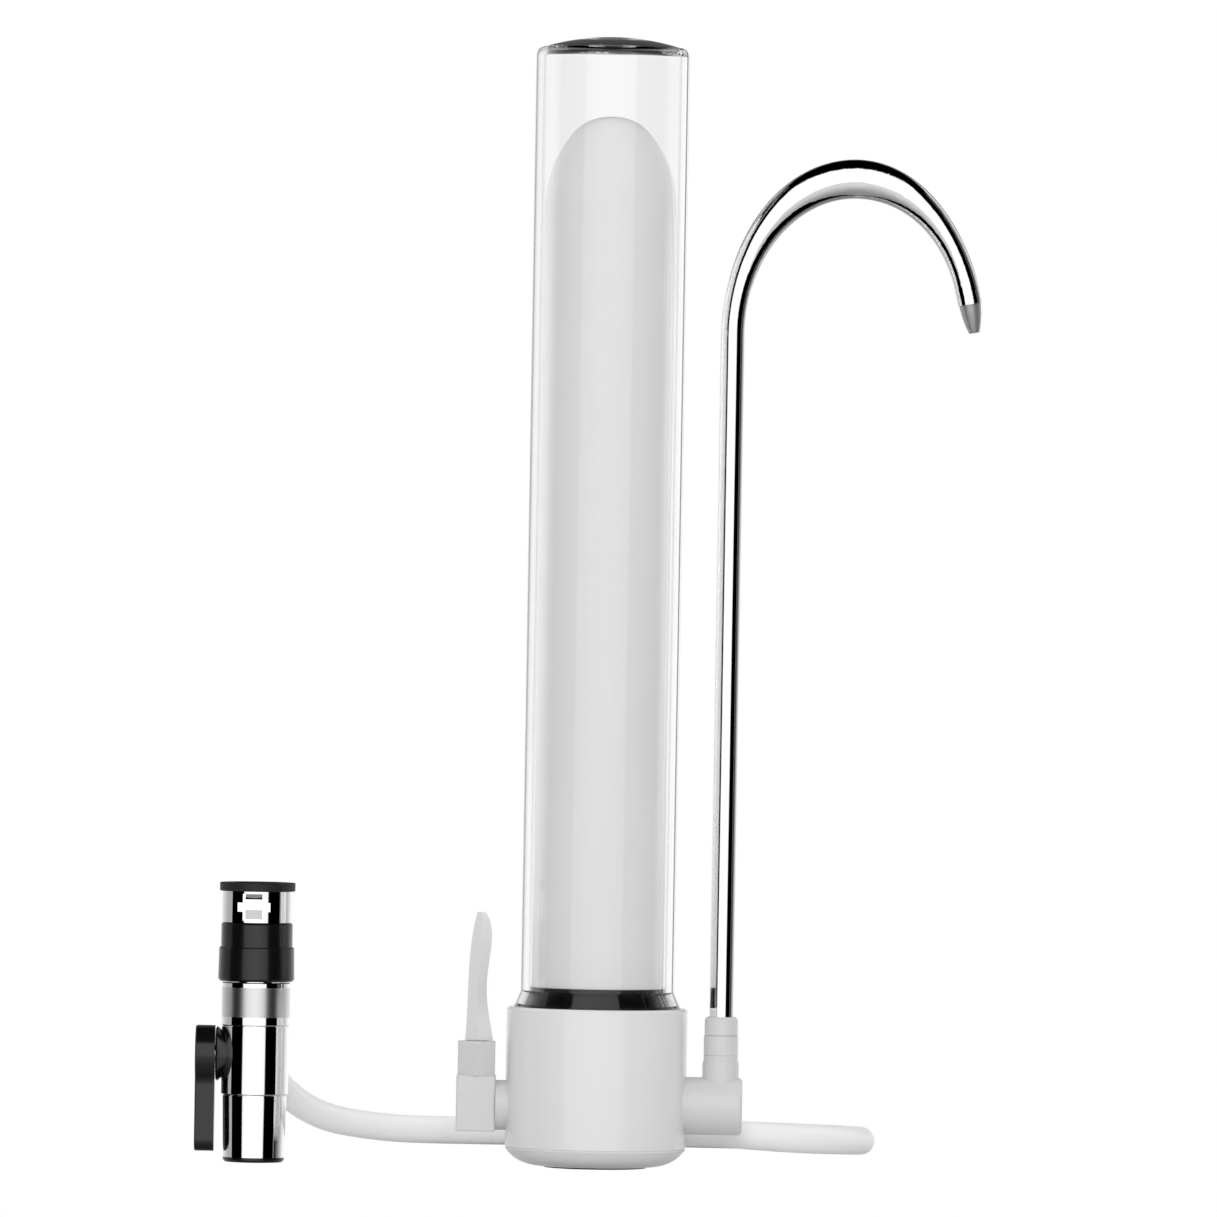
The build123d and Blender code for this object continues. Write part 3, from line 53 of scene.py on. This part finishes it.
camera_data = bpy.data.cameras.new("camera")
camera_data.sensor_width = SENSOR
camera = bpy.data.objects.new("camera", camera_data)
bpy.context.scene.collection.objects.link(camera)
camera_place = Vector((AIM.x, -VIEW_DISTANCE, VIEW_HEIGHT))
sight = AIM - camera_place
camera_data.lens = SENSOR * sight.length / FRAME_WIDTH
facing = sight.to_track_quat("-Z", "Y").to_matrix().to_4x4()
camera.matrix_world = Matrix.Translation(camera_place) @ facing @ Matrix.Rotation(ROLL, 4, "Z")
bpy.context.scene.camera = camera
bpy.context.scene.view_settings.view_transform = "Standard"

# Supply hose: the route's points are those of the solid, and each carries the tube's own radius
HOSE_D = 0.010
HOSE_ROUNDNESS = 10    # steps in each quarter of the section
HOSE_FINENESS = 24     # steps from one point of the route to the next
HOSE_ROUTE = [
    (0.01445, 0.045, 0.0132),
    (0.0618, 0.045, 0.0092),
    (0.0959, 0.079, 0.0072),
    (0.0959, 0.127, 0.0054),
    (0.062, 0.161, 0.005),
    (0.010, 0.164, 0.005),
    (-0.050, 0.148, 0.0055),
    (-0.079, 0.124, 0.007),
    (-0.104, 0.095, 0.013),
    (-0.1208, 0.062, 0.032),
    (-0.1208, 0.028, 0.0345),
]
hose_curve = bpy.data.curves.new("hose", "CURVE")
hose_curve.dimensions = "3D"
hose_curve.bevel_depth = 1.0
hose_curve.bevel_resolution = HOSE_ROUNDNESS
hose_curve.resolution_u = HOSE_FINENESS
hose_curve.use_fill_caps = True
route = hose_curve.splines.new("NURBS")
route.points.add(len(HOSE_ROUTE) - 1)
for point, place in zip(route.points, HOSE_ROUTE):
    point.co = (*place, 1.0)
    point.radius = HOSE_D / 2
route.order_u = 3
route.use_endpoint_u = True
hose = bpy.data.objects.new("hose", hose_curve)
bpy.context.scene.collection.objects.link(hose)
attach(hose, "base")
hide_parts("supply_hose")

GRAIN_DETAIL = 3.0     # octaves of the surface's unevenness
BUMP_STRENGTH = 0.3
ABS_IOR = 1.53
SAN_IOR = 1.49
MATHS = "ShaderNodeMath"
RAMP = "ShaderNodeMapRange"


def linear(hex_colour):
    """An sRGB hex colour as linear red, green, blue and alpha."""
    channels = [int(hex_colour[i:i + 2], 16) / 255 for i in (1, 3, 5)]
    return [c / 12.92 if c <= 0.04045 else ((c + 0.055) / 1.055) ** 2.4 for c in channels] + [1.0]


def add(tree, kind, inputs=None, **settings):
    """Add a node with its settings. An input is a value, a socket, or a node for its first output."""
    node = tree.nodes.new(kind)
    for name, value in settings.items():
        setattr(node, name, value)
    for name, source in (inputs or {}).items():
        if isinstance(source, bpy.types.Node):
            source = source.outputs[0]
        if isinstance(source, bpy.types.NodeSocket):
            tree.links.new(source, node.inputs[name])
        else:
            node.inputs[name].default_value = source
    return node


def plain(name, colour, **sockets):
    """A new material of one colour, with values for the shader's sockets, and its node tree."""
    made = bpy.data.materials.new(name)
    made.use_nodes = True
    shader = made.node_tree.nodes["Principled BSDF"]
    shader.inputs["Base Color"].default_value = linear(colour)
    for socket, value in sockets.items():
        shader.inputs[socket].default_value = value
    return made, made.node_tree, shader


def finish(name, colour, grain_mm, roughness, spread, bump_mm, **sockets):
    """A plain material whose fine grain, of a real size, drives its roughness and a shallow bump."""
    made, tree, shader = plain(name, colour, **sockets)
    place = add(tree, "ShaderNodeTexCoord").outputs["Object"]
    grain = add(tree, "ShaderNodeTexNoise",
                {"Vector": place, "Scale": 1 / (grain_mm * MM), "Detail": GRAIN_DETAIL}).outputs["Fac"]
    sheen = add(tree, RAMP, {"Value": grain, "To Min": roughness - spread, "To Max": roughness + spread})
    relief = add(tree, "ShaderNodeBump",
                 {"Height": grain, "Distance": bump_mm * MM, "Strength": BUMP_STRENGTH})
    tree.links.new(sheen.outputs["Result"], shader.inputs["Roughness"])
    tree.links.new(relief.outputs["Normal"], shader.inputs["Normal"])
    return made


# White ABS, injection moulded in a polished mould: clean and bright, with a soft gloss
white_plastic = finish("moulded white ABS", "#dddddd", IOR=ABS_IOR,
                       grain_mm=6.0, roughness=0.15, spread=0.03, bump_mm=0.004)

# The fittings, injection moulded: the base's white made greyer as painted shade for the shade that falls on
# them beside the base, and duller in gloss
fitting_plastic_painted_shade = finish("white fitting plastic with painted shade", "#d0d0d0",
                         grain_mm=4.0, roughness=0.3, spread=0.04, bump_mm=0.01)

# White ceramic, cast and fired: an even, pale body with a faint sheen
ceramic = finish("fired white ceramic", "#dcdcdc",
                 grain_mm=1.5, roughness=0.3, spread=0.05, bump_mm=0.01)

# Black ABS, moulded in a polished mould: deep black with clear soft reflections
black_plastic = finish("moulded black ABS", "#0d0d0d", IOR=ABS_IOR,
                       grain_mm=5.0, roughness=0.2, spread=0.04, bump_mm=0.01)

# Nitrile rubber, moulded: a matte black that takes up the light
rubber = finish("nitrile rubber", "#1c1c1c",
                grain_mm=1.0, roughness=0.55, spread=0.08, bump_mm=0.02)

# Chrome plate over polished brass: a bright mirror with hardly any texture
chrome = finish("chrome plate", "#fbfbfb", Metallic=1.0,
                grain_mm=9.0, roughness=0.05, spread=0.015, bump_mm=0.002)

# Chrome over a brushed band: the brushing, drawn coarser than it is so that it shows, blurs the mirror
satin_chrome = finish("brushed chrome", "#e0e0e0", Metallic=1.0,
                      grain_mm=0.4, roughness=0.3, spread=0.06, bump_mm=0.01)

# ABS with a metal lacquer, sprayed: a mid grey with the soft sheen of its flakes
grey_plastic = finish("metal-lacquered ABS", "#b0b0b0", Metallic=0.7,
                      grain_mm=2.0, roughness=0.36, spread=0.05, bump_mm=0.01)

# White polyurethane, extruded: a plain milky tube, slightly duller than the moulded parts
hose_plastic = finish("extruded white polyurethane", "#f2f2f2",
                      grain_mm=3.0, roughness=0.32, spread=0.05, bump_mm=0.02)

# Stainless steel, turned: a dull grey metal
steel = finish("stainless steel", "#b8b8b8", Metallic=1.0,
               grain_mm=0.6, roughness=0.3, spread=0.05, bump_mm=0.01)

# Clear SAN, injection moulded and polished: water-clear, with dark lines where its wall is seen edge on.
# Light that falls on the object passes it freely, so that the candle inside is lit.
clear_plastic, tree, shader = plain("clear moulded SAN", "#ffffff", IOR=SAN_IOR, Roughness=0.0)
shader.inputs["Transmission Weight"].default_value = 1.0
rays = add(tree, "ShaderNodeLightPath").outputs
passing = add(tree, MATHS, {0: rays["Is Shadow Ray"], 1: rays["Is Diffuse Ray"]}, operation="MAXIMUM")
open_way = add(tree, "ShaderNodeBsdfTransparent", {"Color": linear("#ffffff")})
wall = add(tree, "ShaderNodeMixShader", {0: passing, 1: shader, 2: open_way})
tree.links.new(wall.outputs["Shader"], tree.nodes["Material Output"].inputs["Surface"])

SLOT_MATERIALS = {
    "white_plastic": white_plastic,
    "clear_plastic": clear_plastic,
    "white_ceramic": ceramic,
    "black_plastic": black_plastic,
    "black_rubber": rubber,
    "chrome": chrome,
    "satin_chrome": satin_chrome,
    "grey_plastic": grey_plastic,
    "white_hose": hose_plastic,
    "steel": steel,
}
# The fittings take the greyer white, which is painted shade
FITTINGS = {"flush_neck_ring", "flush_valve_body", "flush_bonnet", "outlet_elbow", "riser_collar",
            "spout_nut", "inlet_elbow", "inlet_nut", "port_nut"}

# Thread of the faucet adapter: one ridge winds up the inside of the bore
THREAD_SIZES = {"Radius": 10.5 * MM, "Ridge": 0.3 * MM, "Pitch": 1.0 * MM, "Length": 9.0 * MM}
THREAD_FOOT = (-120.8 * MM, 0.0, 86.3 * MM)
TURN_STEPS = 48
RIDGE_STEPS = 8
thread_tree = bpy.data.node_groups.new("thread", "GeometryNodeTree")
for name, size in THREAD_SIZES.items():
    socket = thread_tree.interface.new_socket(name, in_out="INPUT", socket_type="NodeSocketFloat")
    socket.default_value = size
thread_tree.interface.new_socket("Foot", in_out="INPUT", socket_type="NodeSocketVector")
thread_tree.interface.new_socket("Geometry", in_out="OUTPUT", socket_type="NodeSocketGeometry")
sizes = add(thread_tree, "NodeGroupInput").outputs
turns = add(thread_tree, MATHS, {0: sizes["Length"], 1: sizes["Pitch"]}, operation="DIVIDE")
helix = add(thread_tree, "GeometryNodeCurveSpiral", {
    "Resolution": TURN_STEPS, "Rotations": turns, "Start Radius": sizes["Radius"],
    "End Radius": sizes["Radius"], "Height": sizes["Length"]})
section = add(thread_tree, "GeometryNodeCurvePrimitiveCircle",
              {"Resolution": RIDGE_STEPS, "Radius": sizes["Ridge"]})
ridge = add(thread_tree, "GeometryNodeCurveToMesh",
            {"Curve": helix, "Profile Curve": section, "Fill Caps": True})
placed = add(thread_tree, "GeometryNodeTransform", {"Geometry": ridge, "Translation": sizes["Foot"]})
real = add(thread_tree, "GeometryNodeRealizeInstances", {"Geometry": placed})
painted = add(thread_tree, "GeometryNodeSetMaterial", {"Geometry": real, "Material": chrome})
add(thread_tree, "NodeGroupOutput", {"Geometry": painted})

thread = bpy.data.objects.new("faucet_thread_ridge", bpy.data.meshes.new("faucet_thread_ridge"))
bpy.context.scene.collection.objects.link(thread)
winding = thread.modifiers.new("winding", "NODES")
winding.node_group = thread_tree
for socket in thread_tree.interface.items_tree:
    if socket.in_out == "INPUT":
        winding[socket.identifier] = THREAD_FOOT if socket.name == "Foot" else THREAD_SIZES[socket.name]
evaluated = thread.evaluated_get(bpy.context.evaluated_depsgraph_get())
thread_mesh = bpy.data.meshes.new_from_object(evaluated)
thread.modifiers.clear()
thread.data = thread_mesh
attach(thread, "swivel_nut")

for part in frame["record"]["subparts"]:
    mesh = nodes[part["node"]].data
    mesh.materials.clear()
    mesh.materials.append(
        fitting_plastic_painted_shade if part["node"] in FITTINGS else SLOT_MATERIALS[part["material_slot"]])
hose_curve.materials.append(hose_plastic)

# World: white to the eye; in reflections a studio with dark flags at the sides and a dark ceiling.
# Pairs are degrees, from where a change starts to where it ends. Azimuth 0 is the camera's side, with
# the object's right positive; heights are above the horizon.
SOFTBOX = (-26, 18)
SOFTBOX_EDGE = 14
SOFTBOX_GAIN = 0.3
FLAG_EDGE = 2
LEFT_FLAG = (-88, -42)
RIGHT_FLAG = (36, 80)
FAR_RIGHT = (80, 150)
FAR_RIGHT_FADE = (150, 80)
FAR_LEFT = (-180, -88)
FAR_LEFT_FADE = (-175, -95)
FAR_LEFT_SHADE = 0.6
CEILING = (40, 48)
CANOPY_AZIMUTH = 140
CANOPY = (7, 12)
CANOPY_SHADE = 0.82
UNDERNEATH = (-7, -13)
UNDERNEATH_SHADE = 0.45
DEEP = (-13, -70)
DEEP_SHADE = 0.35
BEHIND_GLASS = (96, 110)
BEHIND_GLASS_TOP = (8, 20)
BEHIND_GLASS_SHADE = 0.82
WALL_EDGE = (160, 170)
WALL_EDGE_SHADE = 0.85
MIRRORED_SHARE = 0.25  # of the level seen by way of a reflection inside the clear wall
AMBIENT = 0.34
OVERHEAD = (10, 80)
OVERHEAD_GAIN = 0.85


def azimuth_of(tree, place):
    """The azimuth of a place or of a direction, in radians."""
    axes = add(tree, "ShaderNodeSeparateXYZ", {"Vector": place}).outputs
    forwards = add(tree, MATHS, {0: axes["Y"], 1: -1.0}, operation="MULTIPLY")
    return add(tree, MATHS, {0: axes["X"], 1: forwards}, operation="ARCTAN2")


def turned(tree, azimuth, start, end):
    """A soft step from 0 to 1 between two azimuths."""
    start, end = math.radians(start), math.radians(end)
    return add(tree, RAMP, {"Value": azimuth, "From Min": start, "From Max": end},
               interpolation_type="SMOOTHSTEP")


def within(tree, amount, *masks):
    """An amount, kept where all the masks overlap."""
    for mask in masks:
        amount = add(tree, MATHS, {0: amount, 1: mask}, operation="MULTIPLY")
    return amount


def without(tree, amount, shade):
    """An amount less the share that a shade takes."""
    return within(tree, amount, add(tree, MATHS, {0: 1.0, 1: shade}, operation="SUBTRACT"))


def by_the_wall(tree, off_front, mirrored, through):
    """The level seen by way of a reflection inside the clear wall, which dims towards its edges."""
    window = within(tree, 1 - MIRRORED_SHARE, through)
    level = add(tree, MATHS, {0: within(tree, MIRRORED_SHARE, mirrored), 1: window}, operation="ADD")
    return without(tree, level, within(tree, WALL_EDGE_SHADE, turned(tree, off_front, *WALL_EDGE)))


world = bpy.data.worlds.new("studio")
bpy.context.scene.world = world
world.use_nodes = True
studio = world.node_tree
studio.nodes.clear()
view = add(studio, "ShaderNodeTexCoord").outputs["Generated"]
height = add(studio, "ShaderNodeSeparateXYZ", {"Vector": view}).outputs["Z"]
azimuth = azimuth_of(studio, view)
off_front = add(studio, MATHS, {0: azimuth}, operation="ABSOLUTE")


def above(start, end):
    """A soft step from 0 to 1 between two heights of view."""
    start, end = math.sin(math.radians(start)), math.sin(math.radians(end))
    return add(studio, RAMP, {"Value": height, "From Min": start, "From Max": end},
               interpolation_type="SMOOTHSTEP")


def flag(left, right, edge=FLAG_EDGE):
    """A flag between two azimuths, with soft edges."""
    rise = turned(studio, azimuth, left - edge, left + edge)
    fall = turned(studio, azimuth, right - edge, right + edge)
    return add(studio, MATHS, {0: rise, 1: fall}, operation="SUBTRACT")


# What mirrors show: a softbox in the middle, flags at both sides, a ceiling and a canopy at the back
facing_back = add(studio, MATHS, {0: off_front, 1: math.radians(CANOPY_AZIMUTH)}, operation="GREATER_THAN")
underneath = within(studio, UNDERNEATH_SHADE, above(*UNDERNEATH))
deep = within(studio, DEEP_SHADE, above(*DEEP))
dark = flag(*LEFT_FLAG)
for shade in (
        flag(*RIGHT_FLAG),
        within(studio, turned(studio, azimuth, *FAR_RIGHT_FADE), flag(*FAR_RIGHT)),
        above(*CEILING),
        within(studio, FAR_LEFT_SHADE, turned(studio, azimuth, *FAR_LEFT_FADE), flag(*FAR_LEFT)),
        within(studio, CANOPY_SHADE, facing_back, above(*CANOPY)),
        add(studio, MATHS, {0: underneath, 1: deep}, operation="ADD")):
    dark = add(studio, MATHS, {0: dark, 1: shade}, operation="MAXIMUM")
softbox = within(studio, SOFTBOX_GAIN, flag(*SOFTBOX, SOFTBOX_EDGE))
lit = add(studio, MATHS, {0: 1.0, 1: softbox}, operation="ADD")
mirrored = without(studio, lit, dark)

# What the clear wall shows: the white backdrop behind it, darker towards the top
through = without(studio, turned(studio, off_front, *BEHIND_GLASS),
                  within(studio, BEHIND_GLASS_SHADE, above(*BEHIND_GLASS_TOP)))
inside = by_the_wall(studio, off_front, mirrored, through)

# What lights matt surfaces: an even level that grows towards the zenith
overhead = within(studio, OVERHEAD_GAIN, above(*OVERHEAD))
ambient = add(studio, MATHS, {0: AMBIENT, 1: overhead}, operation="ADD")

# Each kind of ray meets a level of its own, and the camera's meet plain white
rays = add(studio, "ShaderNodeLightPath").outputs
reflected = add(studio, MATHS, {0: rays["Glossy Depth"], 1: 1.0}, operation="MINIMUM")
in_glass = add(studio, "ShaderNodeMix", {"Factor": reflected, "A": through, "B": inside})
level = mirrored
for ray, chosen in (("Is Transmission Ray", in_glass), ("Is Diffuse Ray", ambient), ("Is Camera Ray", 1.0)):
    level = add(studio, "ShaderNodeMix", {"Factor": rays[ray], "A": level, "B": chosen})
background = add(studio, "ShaderNodeBackground", {"Color": linear("#ffffff"), "Strength": level})
add(studio, "ShaderNodeOutputWorld", {"Surface": background})

# Floor: pale, and plain white to the eye, as the photograph's ground. By way of a reflection inside the
# clear wall it dims as the studio around it does.
FLOOR_REACH = 6.0
FLOOR_DROP = 0.4 * MM
corners = [(-FLOOR_REACH, -FLOOR_REACH, 0), (FLOOR_REACH, -FLOOR_REACH, 0),
           (FLOOR_REACH, FLOOR_REACH, 0), (-FLOOR_REACH, FLOOR_REACH, 0)]
floor_mesh = bpy.data.meshes.new("floor")
floor_mesh.from_pydata(corners, [], [(0, 1, 2, 3)])
floor = bpy.data.objects.new("floor", floor_mesh)
floor.location.z = -FLOOR_DROP
bpy.context.scene.collection.objects.link(floor)
floor_paint = bpy.data.materials.new("pale floor")
floor_paint.use_nodes = True
tree = floor_paint.node_tree
tree.nodes.clear()
spot = azimuth_of(tree, add(tree, "ShaderNodeNewGeometry").outputs["Position"])
spot = add(tree, MATHS, {0: spot}, operation="ABSOLUTE")
inside = by_the_wall(tree, spot, 1.0, turned(tree, spot, *BEHIND_GLASS))
rays = add(tree, "ShaderNodeLightPath").outputs
reflected = add(tree, MATHS, {0: rays["Glossy Depth"], 1: 1.0}, operation="MINIMUM")
reflected = within(tree, reflected, rays["Is Transmission Ray"])
level = add(tree, "ShaderNodeMix", {"Factor": reflected, "A": 1.0, "B": inside})
white = add(tree, "ShaderNodeEmission", {"Color": linear("#ffffff"), "Strength": level})
matte = add(tree, "ShaderNodeBsdfDiffuse", {"Color": linear("#e4e4e4")})
seen = add(tree, MATHS, {0: rays["Is Camera Ray"], 1: rays["Is Glossy Ray"]}, operation="MAXIMUM")
seen = add(tree, MATHS, {0: seen, 1: rays["Is Transmission Ray"]}, operation="MAXIMUM")
ground = add(tree, "ShaderNodeMixShader", {0: seen, 1: matte, 2: white})
add(tree, "ShaderNodeOutputMaterial", {"Surface": ground})
floor_mesh.materials.append(floor_paint)
floor.visible_glossy = False


def soft_light(name, place, aim, size, watts, spread=180):
    """A rectangular area light aimed at a point; its spread is in degrees."""
    data = bpy.data.lights.new(name, "AREA")
    data.shape = "RECTANGLE"
    data.size, data.size_y = size
    data.energy = watts
    data.spread = math.radians(spread)
    light = bpy.data.objects.new(name, data)
    light.location = place
    light.rotation_euler = (Vector(aim) - Vector(place)).to_track_quat("-Z", "Y").to_euler()
    light.visible_glossy = False
    light.visible_transmission = False
    bpy.context.scene.collection.objects.link(light)


# Lights: a tall box in front, and a narrow one behind each side that rims the candle
soft_light("front light", place=(0.0, -1.5, 0.6), aim=(0.0, 0.0, 0.2), size=(0.25, 1.4), watts=9.6)
for side, across in (("left", -0.38), ("right", 0.38)):
    soft_light(f"{side} rim light", place=(across, 0.4, 0.26), aim=(0.0, 0.0, 0.26),
               size=(0.12, 0.34), watts=0.2, spread=36)

# Facets that meet at less than this angle are shaded as one curved face
SMOOTH_ANGLE = math.radians(30)
for node in nodes.values():
    for face in node.data.polygons:
        face.use_smooth = True
    node.data.set_sharp_from_angle(angle=SMOOTH_ANGLE)
